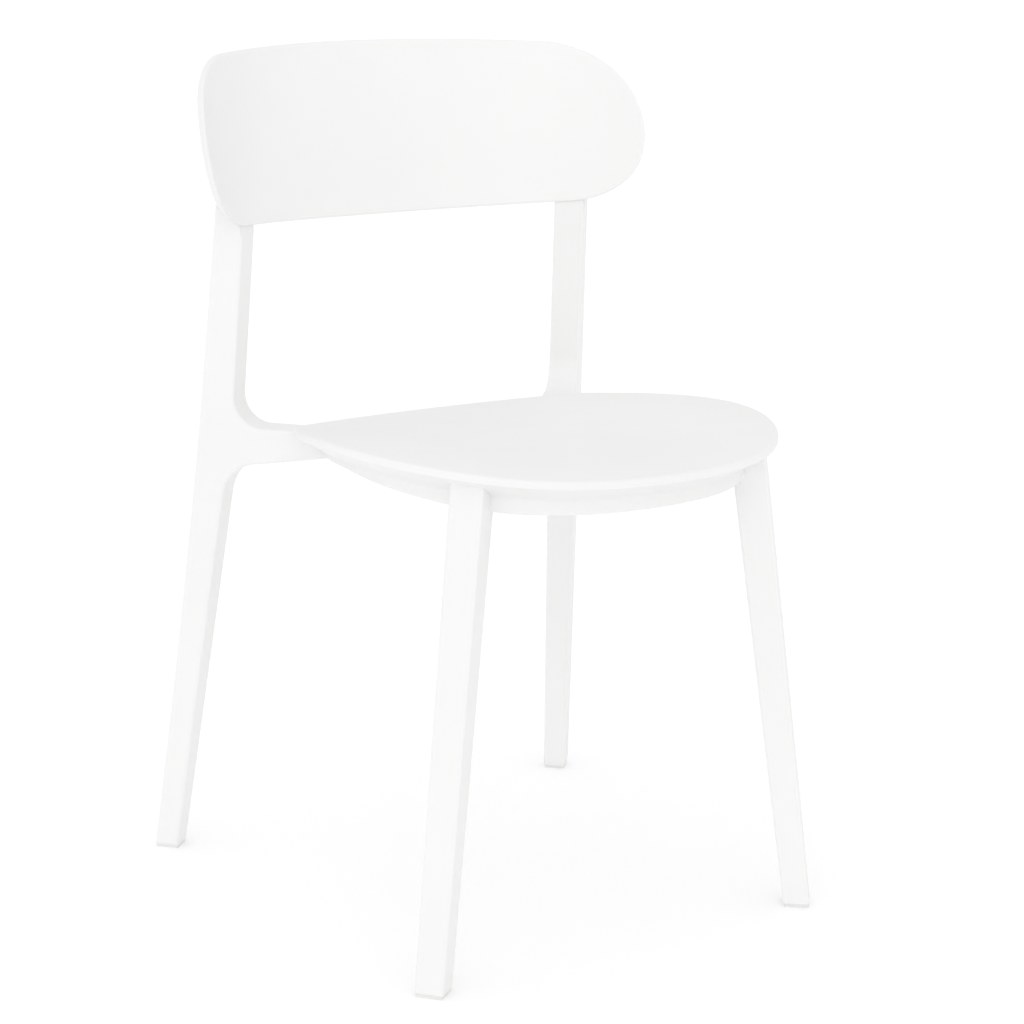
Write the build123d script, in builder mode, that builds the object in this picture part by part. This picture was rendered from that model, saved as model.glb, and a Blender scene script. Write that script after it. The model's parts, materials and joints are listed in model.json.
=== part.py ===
from build123d import *
import math
import os

os.makedirs("parts", exist_ok=True)

# A stacking chair in moulded polypropylene. Millimetres, +Z up, the sitter faces -Y.
# The origin is on the floor, under the middle of the chair.

# Seat: its top is bent about X, so that the front and rear edges droop
SEAT_TOP = 449.5
SEAT_CREST_Y = -112.5
SEAT_BEND_RADIUS = 1623
SEAT_FRONT_Y = -269.5
SEAT_SHOULDER = (147, -216.5)
SEAT_HALF_WIDTH = 202.5
SEAT_WIDEST_Y = -72.5
SEAT_FLANK = (189, 19.5)
SEAT_CORNER = (158, 114.5)
SEAT_CORNER_HEADING = (-0.36, 0.93)
SEAT_REAR_Y = 146.5
SEAT_CORNER_RADIUS = 36
RIM_THICKNESS = 7
RIM_RADIUS = 3.2
FLARE_INSET = 29
FLARE_DROP = 16.5
TOP_OF_RING = RIM_THICKNESS + FLARE_DROP
SEAT_SKIN = 4.5
RIB = 3
RIB_PITCH = 72
RIBS_ACROSS = 6
RIBS_ALONG = 8
SEAT_POCKET_INSET = 34.8

# Apron ring under the seat, set in from the rim
INSET_ARCS = 20
APRON_INSET = 30
APRON_WALL = 3.5
APRON_HEIGHT = 12.7
FLANGE_WIDTH = 24
FLANGE_THICKNESS = 3
BRACKET = 4
RING_BEND_RADIUS = 1044
RING_BEND_Y = -60
RING_BEND_TOP = 418.5

# Rear frames: leg, upright and arm in one flat moulding, seen in its own plane as (along, up)
REAR_FOOT = (225.8, 253.5)
REAR_TURN = 49.3
REAR_LEAN = 2.35
FRAME_REAR_LINE = ((-11.65, 0), (55.6, 428.8), (78.3, 613), (88.6, 704))
FRAME_FRONT_FOOT = 11.65
FRAME_FRONT_KNEE = (81.3, 391)
UPRIGHT_FRONT = ((89.0, 429.3), (107.0, 613), (115.5, 704))
ARM_TOP_END = (213, 431.6)
ARM_LOW_END = (213, 408.4)
ARM_TOP_FILLET = 27
ARM_LOW_FILLET = 38
FRAME_HALF_FOOT = 11.55
FRAME_HALF_ARM = 14.7
FRAME_HALF_TOP = 14.5
FRAME_ARM_LEVEL = 412
FRAME_TOP = 704

# Front legs: square bars turned to face outward, tapering to the foot
FRONT_FOOT = (195.8, -199.4)
FRONT_HEAD = (143.5, -180.6)
FRONT_TURN = 51.5
FRONT_FOOT_SIZE = (26.4, 24.3)
FRONT_HEAD_SIZE = (30.3, 30.9)
HEAD_LEVEL = 428.4

# Hollow legs and their glides
LEG_WALL = 3.6
LEG_HOLLOW_TOP = 345
GLIDE_HEIGHT = 3
GLIDE_INSET = 1.1
GLIDE_PLUG = 22
GLIDE_BORE = 6
GLIDE_WALL = 2.6
BELOW_FOOT = -12
SPARE = 20

# Backrest: round in plan, leaning back, with a pill-shaped outline seen from the front
BACK_CENTRE_Y = 237.15
BACK_CENTRE_Z = 692.4
BACK_LEAN = 17.07
BACK_RADIUS = 284.6
BACK_THICKNESS = 8
BACK_HALF_WIDTH = 235
BACK_HALF_HEIGHT = 72.1
BACK_TOP_CROWN = 6.3
BACK_LOW_CROWN = 11.1
BACK_END_CROWN = 5
BACK_CORNER = 60
BACK_EDGE = 2.6
BACK_BOSS_RADIUS = 4.5
BACK_BOSS_LENGTH = 5

# Fasteners
BOLT_RADIUS = 3
BOLT_HEAD_RADIUS = 5.2
BOLT_HEAD = 3.4
HEX_RADIUS = 2.2
HEX_DEPTH = 2
INSERT_RADIUS = 4
INSERT_LENGTH = 13
INSERT_GAP = 0.4
BOLT_REACH = 11
WASHER_RADIUS = 6.4
WASHER = 1.2
ARM_BOLT_SPREAD = 7.4
SCREW_RADIUS = 1.9
SCREW_HEAD_RADIUS = 3.8
SCREW_HEAD = 2.4
FRONT_BOLT_LEVEL = 419
ARM_BOLT_LEVEL = 418.5
BACK_SCREW_LEVELS = (625, 642)
SCREW_SEAT = BACK_BOSS_LENGTH + 3.2
SCREW_BITE = 4.4
CAP_RADIUS = 4.7
CAP_END = 38
WRENCH_RADIUS = 18
WRENCH_LENGTH = 24
SEAT_SCREW_LENGTH = 12
SEAT_SCREW_SPOTS = ((60, -219.5), (160, -62.5), (36, 101.5))
SEAT_BOSS_RADIUS = 5.5
BRACKET_DROP = 9
CHEEK_LENGTH = 22

# Soft buffers under the ring, for the chair stacked below
BUFFER_SPOTS = ((88, -213.5), (150, 25.5))
BUFFER_BOSS_RADIUS = 7
BUFFER_RADIUS = 5.5
BUFFER_STEM_RADIUS = 2.5
BUFFER_STEM = 4.5
BUFFER_PAD = 1

BELOW_POCKET = 60
BELOW = 380
ABOVE = 80


def bent_height(y, radius, crest_y, top):
    """The height of a large cylinder about X that is highest at crest_y."""
    return top - radius + math.sqrt(radius**2 - (y - crest_y) ** 2)


def seat_height(y):
    """The seat's top is part of a large cylinder about X, so its height depends on y alone."""
    return bent_height(y, SEAT_BEND_RADIUS, SEAT_CREST_Y, SEAT_TOP)


def ring_bottom(y):
    """The ring's lower edge follows the seat in front, and a tighter bend along the flanks."""
    flank = bent_height(y, RING_BEND_RADIUS, RING_BEND_Y, RING_BEND_TOP)
    return max(seat_height(y) - TOP_OF_RING - APRON_HEIGHT, flank)


def bent_block(radius, crest_y, top):
    """All that lies under a large cylinder about X."""
    half_width = 1.5 * SEAT_HALF_WIDTH
    with BuildPart() as depth:
        with BuildSketch(Plane.YZ.offset(-half_width)):
            with Locations((crest_y, top - radius)):
                Circle(radius)
        extrude(amount=2 * half_width)
    return depth.part


def under_top(drop):
    """All that lies deeper than a drop under the seat's top surface."""
    return bent_block(SEAT_BEND_RADIUS, SEAT_CREST_Y, SEAT_TOP - drop)


def seat_outline():
    """The seat's outline in plan, a rounded front and a bowed rear edge."""
    with BuildSketch() as outline:
        with BuildLine():
            Spline(
                (0, SEAT_FRONT_Y),
                SEAT_SHOULDER,
                (SEAT_HALF_WIDTH, SEAT_WIDEST_Y),
                SEAT_FLANK,
                SEAT_CORNER,
                tangents=[(1, 0), SEAT_CORNER_HEADING],
            )
            mirror(about=Plane.YZ)
            ThreePointArc(SEAT_CORNER, (0, SEAT_REAR_Y), (-SEAT_CORNER[0], SEAT_CORNER[1]))
        make_face()
        fillet(outline.vertices().group_by(Axis.Y)[-1], SEAT_CORNER_RADIUS)
    return outline.sketch


def inset_outline(inset):
    """The seat's outline moved inward, as a chain of arcs."""
    rim = seat_outline().faces()[0].outer_wire()
    middle = Vector(0, SEAT_WIDEST_Y, 0)
    spots = []
    for step in range(2 * INSET_ARCS + 1):
        share = step / (2 * INSET_ARCS)
        spot = rim.position_at(share)
        inward = rim.tangent_at(share).rotate(Axis.Z, 90)
        if inward.dot(middle - spot) < 0:
            inward = inward * -1
        spots.append(spot + inward * inset)
    spots[-1] = spots[0]
    with BuildSketch() as outline:
        with BuildLine():
            for step in range(0, 2 * INSET_ARCS, 2):
                ThreePointArc(*spots[step : step + 3])
        make_face()
    return outline.sketch


def flange_inner_edge():
    """The apron's outline made smaller about the seat's middle."""
    share = 1 - FLANGE_WIDTH / (SEAT_HALF_WIDTH - APRON_INSET)
    centred = Pos(0, -SEAT_WIDEST_Y) * inset_outline(APRON_INSET)
    return Pos(0, SEAT_WIDEST_Y) * scale(centred, by=share)


def under_seat(profile, top_drop, low_drop):
    """A plan profile, extruded between two depths under the seat's top surface."""
    with BuildPart() as block:
        with BuildSketch(Plane.XY.offset(BELOW)):
            add(profile)
        extrude(amount=ABOVE)
        add(under_top(top_drop), mode=Mode.INTERSECT)
        add(under_top(low_drop), mode=Mode.SUBTRACT)
    return block.part


def turned(degrees):
    """The horizontal axes of a left leg: outward across it, and forward-inward along it."""
    angle = math.radians(degrees)
    outward = Vector(-math.sin(angle), -math.cos(angle), 0)
    along = Vector(math.cos(angle), -math.sin(angle), 0)
    return outward, along


def bar(foot, head, foot_size, head_size, degrees, low, high):
    """A straight tapered bar of turned rectangles, from one height to another."""
    outward, along = turned(degrees)

    def level(z):
        share = z / HEAD_LEVEL
        x = -(foot[0] + (head[0] - foot[0]) * share)
        y = foot[1] + (head[1] - foot[1]) * share
        width = foot_size[0] + (head_size[0] - foot_size[0]) * share
        depth = foot_size[1] + (head_size[1] - foot_size[1]) * share
        return Plane(origin=(x, y, z), x_dir=along, z_dir=(0, 0, 1)), width, depth

    with BuildPart() as solid:
        for z in (low, high):
            plane, width, depth = level(z)
            with BuildSketch(plane):
                Rectangle(width, depth)
        loft(ruled=True)
    return solid.part


def rear_frame_axes():
    """The left rear frame's plane, its origin at the middle of the foot."""
    outward, along = turned(REAR_TURN)
    lean = math.radians(REAR_LEAN)
    normal = outward * math.cos(lean) - Vector(0, 0, 1) * math.sin(lean)
    foot = Vector(-REAR_FOOT[0], REAR_FOOT[1], 0)
    side = Plane(origin=foot, x_dir=along, z_dir=normal)
    front = Plane(origin=foot, x_dir=normal, z_dir=along * -1)
    return side, front


def frame_thickness(shrink=0):
    """The frame's section seen end on: thin at the foot and even above the arm."""
    low = BELOW_FOOT
    high = FRAME_TOP + SPARE
    side, front = rear_frame_axes()
    grow = (FRAME_HALF_ARM - FRAME_HALF_FOOT) / FRAME_ARM_LEVEL
    halves = (
        (low, FRAME_HALF_FOOT + grow * low - shrink),
        (FRAME_ARM_LEVEL, FRAME_HALF_ARM - shrink),
        (high, FRAME_HALF_TOP - shrink),
    )
    reach = 2 * REAR_FOOT[0]
    with BuildPart() as body:
        with BuildSketch(front):
            with BuildLine():
                left = [(-half, level) for level, half in halves]
                right = [(half, level) for level, half in reversed(halves)]
                Polyline(*left, *right, close=True)
            make_face()
        extrude(amount=reach, both=True)
    return body.part


def back_slab(near_radius, far_radius):
    """An upright wall, round in plan behind the sitter, that leans back as it rises."""
    half_height = 1.5 * BACK_HALF_HEIGHT
    slope = math.tan(math.radians(BACK_LEAN))
    centre_y = BACK_CENTRE_Y - BACK_RADIUS - slope * half_height
    with BuildPart() as wall:
        with BuildSketch(Plane((0, centre_y, BACK_CENTRE_Z - half_height))):
            Circle(far_radius)
            if near_radius:
                Circle(near_radius, mode=Mode.SUBTRACT)
            with Locations((0, -far_radius)):
                Rectangle(2 * far_radius, 2 * far_radius, mode=Mode.SUBTRACT)
        extrude(amount=2 * half_height / math.cos(math.radians(BACK_LEAN)), dir=(0, slope, 1))
    return wall.part


def back_outline():
    """The pill-shaped outline seen from the front, as a bar that runs from front to back."""
    half = BACK_HALF_WIDTH - BACK_END_CROWN
    end = BACK_HALF_HEIGHT
    facing = Plane((0, 0, BACK_CENTRE_Z), x_dir=(1, 0, 0), z_dir=(0, -1, 0))
    with BuildPart() as pill_bar:
        with BuildSketch(facing) as pill:
            with BuildLine():
                ThreePointArc((-half, end), (0, end + BACK_TOP_CROWN), (half, end))
                ThreePointArc((half, end), (half + BACK_END_CROWN, 0), (half, -end))
                ThreePointArc((half, -end), (0, -end - BACK_LOW_CROWN), (-half, -end))
                ThreePointArc((-half, -end), (-half - BACK_END_CROWN, 0), (-half, end))
            make_face()
            fillet(pill.vertices(), BACK_CORNER)
        extrude(amount=2 * BACK_CENTRE_Y, both=True)
    return pill_bar.part


def front_leg(shrink=0, low=GLIDE_HEIGHT, high=SEAT_TOP):
    """A left front leg's bar, or its hollow when shrunk."""
    foot = (FRONT_FOOT_SIZE[0] - 2 * shrink, FRONT_FOOT_SIZE[1] - 2 * shrink)
    head = (FRONT_HEAD_SIZE[0] - 2 * shrink, FRONT_HEAD_SIZE[1] - 2 * shrink)
    return bar(FRONT_FOOT, FRONT_HEAD, foot, head, FRONT_TURN, low, high)


def rear_leg_line(level):
    """Where a rear leg's rear and front edges are, along the frame's plane, at a height on it."""
    rear_foot, rear_knee = FRAME_REAR_LINE[0], FRAME_REAR_LINE[1]
    rear = rear_foot[0] + (rear_knee[0] - rear_foot[0]) * level / rear_knee[1]
    front = FRAME_FRONT_FOOT + (FRAME_FRONT_KNEE[0] - FRAME_FRONT_FOOT) * level / FRAME_FRONT_KNEE[1]
    return rear, front


def rear_leg_core(shrink, low, high):
    """The inside of a left rear leg: its bar between two heights, less a wall all round."""
    side, front = rear_frame_axes()
    low_rear, low_front = rear_leg_line(low)
    high_rear, high_front = rear_leg_line(high)
    with BuildPart() as core:
        with BuildSketch(side):
            with BuildLine():
                Polyline(
                    (low_rear + shrink, low),
                    (low_front - shrink, low),
                    (high_front - shrink, high),
                    (high_rear + shrink, high),
                    close=True,
                )
            make_face()
        extrude(amount=3 * FRAME_HALF_ARM, both=True)
        add(frame_thickness(shrink), mode=Mode.INTERSECT)
    return core.part


def rear_frame_blank():
    """The left rear frame before it is trimmed: leg, upright and arm in one flat outline."""
    side, front = rear_frame_axes()
    with BuildPart() as blank:
        with BuildSketch(side) as profile:
            with BuildLine():
                Spline(*FRAME_REAR_LINE)
                Line(FRAME_REAR_LINE[-1], UPRIGHT_FRONT[-1])
                Polyline(*reversed(UPRIGHT_FRONT))
                Line(UPRIGHT_FRONT[0], ARM_TOP_END)
                Line(ARM_TOP_END, ARM_LOW_END)
                Line(ARM_LOW_END, FRAME_FRONT_KNEE)
                Line(FRAME_FRONT_KNEE, (FRAME_FRONT_FOOT, 0))
                Line((FRAME_FRONT_FOOT, 0), FRAME_REAR_LINE[0])
            make_face()
            arm_root = profile.vertices().sort_by_distance(Vector(*UPRIGHT_FRONT[0]))[0]
            fillet(arm_root, ARM_TOP_FILLET)
            knee = profile.vertices().sort_by_distance(Vector(*FRAME_FRONT_KNEE))[0]
            fillet(knee, ARM_LOW_FILLET)
        extrude(amount=3 * FRAME_HALF_ARM, both=True)
        add(frame_thickness(), mode=Mode.INTERSECT)
        split(bisect_by=Plane.XY.offset(GLIDE_HEIGHT))
    return blank.part


def pin(axis_plane, *steps):
    """A round pin about a plane's normal, turned from steps of (radius, start, end)."""
    across = Plane(axis_plane.origin, x_dir=axis_plane.x_dir, z_dir=axis_plane.y_dir * -1)
    with BuildPart() as turned_pin:
        with BuildSketch(across):
            for radius, start, end in steps:
                with Locations((radius / 2, (start + end) / 2)):
                    Rectangle(radius, end - start)
        revolve(axis=Axis(axis_plane.origin, axis_plane.z_dir))
    return turned_pin.part


def front_bolt_plane():
    """The left front bolt's axis: it starts on the bracket's inner face and goes outward."""
    outward, along = turned(FRONT_TURN)
    share = FRONT_BOLT_LEVEL / HEAD_LEVEL
    x = -(FRONT_FOOT[0] + (FRONT_HEAD[0] - FRONT_FOOT[0]) * share)
    y = FRONT_FOOT[1] + (FRONT_HEAD[1] - FRONT_FOOT[1]) * share
    centre = Vector(x, y, FRONT_BOLT_LEVEL) - outward * (FRONT_HEAD_SIZE[1] / 2 + BRACKET)
    return Plane(centre, x_dir=along, z_dir=outward)


def arm_bolt_plane(shift=0):
    """A left arm bolt's axis: it starts on the bracket's inner face and goes back into the arm."""
    side, front = rear_frame_axes()
    centre = side.from_local_coords((ARM_TOP_END[0] + BRACKET, ARM_BOLT_LEVEL, shift))
    return Plane(centre, x_dir=side.z_dir, z_dir=side.x_dir * -1)


def back_screw_plane(level):
    """A left backrest screw's axis: it starts on the backrest's back and goes backward."""
    side, front = rear_frame_axes()
    slope = math.tan(math.radians(BACK_LEAN))
    radius = BACK_RADIUS + BACK_THICKNESS
    behind = side.from_local_coords((0, level, 0))
    centre = Vector(0, BACK_CENTRE_Y + slope * (behind.Z - BACK_CENTRE_Z) - BACK_RADIUS, behind.Z)
    reach = behind - centre
    half = reach.dot(side.x_dir)
    travel = -half - math.sqrt(half**2 - reach.dot(reach) + radius**2)
    spot = behind + side.x_dir * travel
    flat_normal = (spot - centre).normalized()
    normal = Vector(flat_normal.X, flat_normal.Y, -slope * flat_normal.Y).normalized()
    return Plane(spot, x_dir=side.z_dir, z_dir=normal)


def both(left):
    """A left-hand solid and its mirror image on the right."""
    return [left, left.mirror(Plane.YZ)]


def write(pieces, name):
    """One STEP file for one node, which is one solid or a group of like solids."""
    group = pieces[0] if len(pieces) == 1 else Compound(children=list(pieces))
    group.label = name
    export_step(group, f"parts/{name}.step")


# Solids that the pieces are cut from
with BuildPart() as seat_plate:
    add(under_seat(seat_outline(), 0, RIM_THICKNESS))
    upper = seat_plate.faces().filter_by(lambda f: f.normal_at(f.center()).Z > 0.9)
    fillet(upper.edges(), RIM_RADIUS)

with BuildPart() as seat_block:
    add(under_seat(seat_outline(), 0, RIM_THICKNESS + FLARE_DROP))
    lower = seat_block.faces().filter_by(lambda f: f.normal_at(f.center()).Z < -0.9)
    chamfer(lower.edges(), length=FLARE_INSET, length2=FLARE_DROP, reference=lower[0])
    upper = seat_block.faces().filter_by(lambda f: f.normal_at(f.center()).Z > 0.9)
    fillet(upper.edges(), RIM_RADIUS)

# Backrest
with BuildPart() as bare_panel:
    add(back_slab(BACK_RADIUS, BACK_RADIUS + BACK_THICKNESS))
    add(back_outline(), mode=Mode.INTERSECT)
    fillet(bare_panel.edges(), BACK_EDGE)

with BuildPart() as before_back:
    add(back_slab(0, BACK_RADIUS + BACK_THICKNESS))
    add(back_outline(), mode=Mode.INTERSECT)

# Bolts, washers and inserts of the front legs and arms, on the left
bolt_planes = {
    "front_leg": [front_bolt_plane()],
    "rear_arm": [arm_bolt_plane(-ARM_BOLT_SPREAD), arm_bolt_plane(ARM_BOLT_SPREAD)],
}
bolts = {}
washers = {}
inserts = {}
for joint, planes in bolt_planes.items():
    bolts[joint] = []
    washers[joint] = []
    inserts[joint] = []
    for plane in planes:
        with BuildPart() as bolt:
            add(
                pin(
                    plane,
                    (BOLT_HEAD_RADIUS, -WASHER - BOLT_HEAD, -WASHER),
                    (BOLT_RADIUS, -WASHER, BRACKET + BOLT_REACH),
                )
            )
            with BuildSketch(plane.offset(-WASHER - BOLT_HEAD)):
                RegularPolygon(HEX_RADIUS, 6)
            extrude(amount=HEX_DEPTH, mode=Mode.SUBTRACT)
        with BuildPart() as washer:
            with BuildSketch(plane.offset(-WASHER)):
                Circle(WASHER_RADIUS)
                Circle(BOLT_RADIUS, mode=Mode.SUBTRACT)
            extrude(amount=WASHER)
        with BuildPart() as insert:
            add(pin(plane, (INSERT_RADIUS, BRACKET + INSERT_GAP, BRACKET + INSERT_GAP + INSERT_LENGTH)))
            add(bolt.part, mode=Mode.SUBTRACT)
        bolts[joint] += both(bolt.part)
        washers[joint] += both(washer.part)
        inserts[joint] += both(insert.part)

# Rear frames: hollow leg, flat lap behind the backrest, rebate under the seat plate
screw_planes = [back_screw_plane(level) for level in BACK_SCREW_LEVELS]
with BuildPart() as trimmed_frame:
    add(rear_frame_blank())
    add(rear_leg_core(LEG_WALL, BELOW_FOOT, LEG_HOLLOW_TOP), mode=Mode.SUBTRACT)
    add(before_back, mode=Mode.SUBTRACT)
    add(under_seat(seat_outline(), -ABOVE, RIM_THICKNESS), mode=Mode.SUBTRACT)

with BuildPart() as left_caps:
    for plane in screw_planes:
        add(pin(plane, (CAP_RADIUS, SCREW_SEAT + SCREW_HEAD, CAP_END)))
    add(trimmed_frame, mode=Mode.INTERSECT)

backrest_screws = []
for plane in screw_planes:
    screw = pin(
        plane,
        (SCREW_RADIUS, -SCREW_BITE, SCREW_SEAT),
        (SCREW_HEAD_RADIUS, SCREW_SEAT, SCREW_SEAT + SCREW_HEAD),
    )
    backrest_screws += both(screw)

with BuildPart() as left_rear_frame:
    add(trimmed_frame)
    for plane in screw_planes:
        hole = pin(
            plane,
            (BACK_BOSS_RADIUS, -SCREW_BITE, BACK_BOSS_LENGTH),
            (SCREW_RADIUS, BACK_BOSS_LENGTH, SCREW_SEAT),
            (CAP_RADIUS, SCREW_SEAT, CAP_END),
        )
        add(hole, mode=Mode.SUBTRACT)
    for plane in bolt_planes["rear_arm"]:
        add(pin(plane, (INSERT_RADIUS, 0, BRACKET + INSERT_GAP + INSERT_LENGTH)), mode=Mode.SUBTRACT)

with BuildPart() as backrest_panel:
    add(bare_panel)
    for plane in screw_planes:
        for boss in both(pin(plane, (BACK_BOSS_RADIUS, -SCREW_BITE / 2, BACK_BOSS_LENGTH))):
            add(boss)
    for screw in backrest_screws:
        add(screw, mode=Mode.SUBTRACT)

# Front legs
with BuildPart() as left_front_leg:
    add(front_leg())
    add(front_leg(LEG_WALL, 0, LEG_HOLLOW_TOP), mode=Mode.SUBTRACT)
    add(under_top(RIM_THICKNESS), mode=Mode.INTERSECT)
    insert_hole = pin(front_bolt_plane(), (INSERT_RADIUS, 0, BRACKET + INSERT_GAP + INSERT_LENGTH))
    add(insert_hole, mode=Mode.SUBTRACT)

rear_frames = both(left_rear_frame.part)
front_legs = both(left_front_leg.part)

# Glides: a foot a little smaller than the leg, with a hollow plug that fills the leg's end
with BuildPart() as left_front_glide:
    add(front_leg(GLIDE_INSET, 0, GLIDE_HEIGHT))
    add(front_leg(LEG_WALL, GLIDE_HEIGHT, GLIDE_PLUG))
    add(front_leg(LEG_WALL + GLIDE_WALL, GLIDE_BORE, GLIDE_PLUG), mode=Mode.SUBTRACT)

with BuildPart() as rear_glide_foot:
    add(rear_leg_core(GLIDE_INSET, BELOW_FOOT, GLIDE_PLUG))
    split(bisect_by=Plane.XY)
    split(bisect_by=Plane.XY.offset(GLIDE_HEIGHT), keep=Keep.BOTTOM)
with BuildPart() as rear_glide_plug:
    add(rear_leg_core(LEG_WALL, BELOW_FOOT, GLIDE_PLUG))
    add(rear_leg_core(LEG_WALL + GLIDE_WALL, GLIDE_BORE, GLIDE_PLUG), mode=Mode.SUBTRACT)
    split(bisect_by=Plane.XY.offset(GLIDE_HEIGHT))
with BuildPart() as left_rear_glide:
    add(rear_glide_foot)
    add(rear_glide_plug)

# Seat screws, from below through the ring's flange into the seat's bosses
seat_screws = []
for x, y in SEAT_SCREW_SPOTS:
    under_flange = Plane((x, y, seat_height(y) - TOP_OF_RING - FLANGE_THICKNESS))
    screw = pin(
        under_flange,
        (SCREW_HEAD_RADIUS, -SCREW_HEAD, 0),
        (SCREW_RADIUS, 0, SEAT_SCREW_LENGTH),
    )
    seat_screws += both(screw)

# Stacking buffers: a pad with a stem in a boss of the ring
buffers = []
for x, y in BUFFER_SPOTS:
    under_ring = Plane((x, y, ring_bottom(y)))
    buffer = pin(
        under_ring,
        (BUFFER_RADIUS, -BUFFER_PAD, 0),
        (BUFFER_STEM_RADIUS, 0, BUFFER_STEM),
    )
    buffers += both(buffer)

# Apron ring: outer wall, flange for the seat screws, bosses, and a U-shaped bracket at each leg and arm
with BuildSketch() as apron_plan:
    add(inset_outline(APRON_INSET))
    add(inset_outline(APRON_INSET + APRON_WALL), mode=Mode.SUBTRACT)
    for side_sign in (-1, 1):
        for x, y in BUFFER_SPOTS:
            with Locations((side_sign * x, y)):
                Circle(BUFFER_BOSS_RADIUS)
with BuildSketch() as flange_plan:
    add(inset_outline(APRON_INSET))
    add(flange_inner_edge(), mode=Mode.SUBTRACT)


def bracket_plan(plane, width):
    """A bracket's U in plan on the left: a wall across the bar's end, and a cheek on each side."""
    flat = Plane((plane.origin.X, plane.origin.Y, 0), x_dir=plane.x_dir, z_dir=(0, 0, 1))
    toward_bar = 1 if flat.y_dir.dot(plane.z_dir) > 0 else -1
    with BuildSketch(flat) as bracket:
        with Locations((0, toward_bar * CHEEK_LENGTH / 2)):
            Rectangle(width + 2 * APRON_WALL, CHEEK_LENGTH)
    with BuildSketch() as trimmed:
        add(bracket.sketch)
        add(inset_outline(APRON_INSET), mode=Mode.INTERSECT)
    return trimmed.sketch


front_bracket = bracket_plan(front_bolt_plane(), FRONT_HEAD_SIZE[0])
arm_bracket = bracket_plan(arm_bolt_plane(), 2 * FRAME_HALF_ARM)
with BuildPart() as seat_ring:
    add(under_seat(apron_plan.sketch, TOP_OF_RING, TOP_OF_RING + APRON_HEIGHT))
    add(under_seat(flange_plan.sketch, TOP_OF_RING, TOP_OF_RING + FLANGE_THICKNESS))
    for room in both(pin(arm_bolt_plane(), (WRENCH_RADIUS, -WRENCH_LENGTH, 0))):
        add(room, mode=Mode.SUBTRACT)
    for bracket in (front_bracket, arm_bracket):
        for solid in both(under_seat(bracket, BRACKET_DROP, TOP_OF_RING + APRON_HEIGHT)):
            add(solid)
    add(bent_block(RING_BEND_RADIUS, RING_BEND_Y, RING_BEND_TOP), mode=Mode.SUBTRACT)
    cutters = rear_frames + front_legs + seat_screws + buffers
    cutters += bolts["front_leg"] + bolts["rear_arm"] + inserts["front_leg"] + inserts["rear_arm"]
    for cutter in cutters:
        add(cutter, mode=Mode.SUBTRACT)

# Seat shell: rounded rim, flared underside, and pockets between ribs and screw bosses
with BuildSketch() as pocket_plan:
    add(inset_outline(SEAT_POCKET_INSET))
    with GridLocations(RIB_PITCH, 0, RIBS_ACROSS, 1):
        Rectangle(RIB, 4 * SEAT_HALF_WIDTH, mode=Mode.SUBTRACT)
    with GridLocations(0, RIB_PITCH, 1, RIBS_ALONG):
        Rectangle(4 * SEAT_HALF_WIDTH, RIB, mode=Mode.SUBTRACT)
    for side_sign in (-1, 1):
        for x, y in SEAT_SCREW_SPOTS:
            with Locations((side_sign * x, y)):
                Circle(SEAT_BOSS_RADIUS, mode=Mode.SUBTRACT)
with BuildPart() as seat_shell:
    add(seat_block)
    add(under_seat(pocket_plan.sketch, SEAT_SKIN, BELOW_POCKET), mode=Mode.SUBTRACT)
    for room in both(pin(arm_bolt_plane(), (WRENCH_RADIUS, -WRENCH_LENGTH, 0))):
        add(room, mode=Mode.SUBTRACT)
    for cutter in rear_frames + front_legs + seat_screws:
        add(cutter, mode=Mode.SUBTRACT)
    add(seat_ring, mode=Mode.SUBTRACT)
seat_body = seat_shell.solids().sort_by(SortBy.VOLUME)[-1]

write([backrest_panel.part], "backrest_panel")
write([rear_frames[0]], "left_rear_frame")
write([rear_frames[1]], "right_rear_frame")
write([seat_body], "seat_shell")
write([seat_ring.part], "seat_ring")
write([front_legs[0]], "left_front_leg")
write([front_legs[1]], "right_front_leg")
write([left_front_glide.part], "left_front_glide")
write([left_front_glide.part.mirror(Plane.YZ)], "right_front_glide")
write([left_rear_glide.part], "left_rear_glide")
write([left_rear_glide.part.mirror(Plane.YZ)], "right_rear_glide")
write(seat_screws, "seat_screws")
write(backrest_screws, "backrest_screws")
write(both(left_caps.part), "backrest_screw_caps")
write(buffers, "stacking_buffers")
for joint in bolt_planes:
    write(bolts[joint], f"{joint}_bolts")
    write(washers[joint], f"{joint}_washers")
    write(inserts[joint], f"{joint}_inserts")
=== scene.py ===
import json
import math

import bmesh
import bpy
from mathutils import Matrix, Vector
from mathutils.geometry import convex_hull_2d


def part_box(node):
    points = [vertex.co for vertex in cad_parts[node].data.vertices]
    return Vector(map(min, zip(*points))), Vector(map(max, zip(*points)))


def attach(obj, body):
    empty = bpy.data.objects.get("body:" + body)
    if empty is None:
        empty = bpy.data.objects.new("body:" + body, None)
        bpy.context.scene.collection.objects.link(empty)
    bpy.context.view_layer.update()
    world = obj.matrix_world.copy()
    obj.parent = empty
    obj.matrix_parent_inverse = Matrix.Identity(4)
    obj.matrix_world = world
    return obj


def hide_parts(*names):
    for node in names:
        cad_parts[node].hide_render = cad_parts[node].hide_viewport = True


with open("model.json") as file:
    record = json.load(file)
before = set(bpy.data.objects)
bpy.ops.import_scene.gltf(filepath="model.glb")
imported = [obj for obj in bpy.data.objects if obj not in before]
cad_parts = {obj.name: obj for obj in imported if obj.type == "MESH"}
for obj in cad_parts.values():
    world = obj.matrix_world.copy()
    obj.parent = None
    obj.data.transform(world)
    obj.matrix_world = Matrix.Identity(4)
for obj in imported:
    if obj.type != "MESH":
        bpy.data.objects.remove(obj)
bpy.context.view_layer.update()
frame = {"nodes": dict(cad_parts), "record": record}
nodes = frame["nodes"]
MM = 0.001

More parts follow.
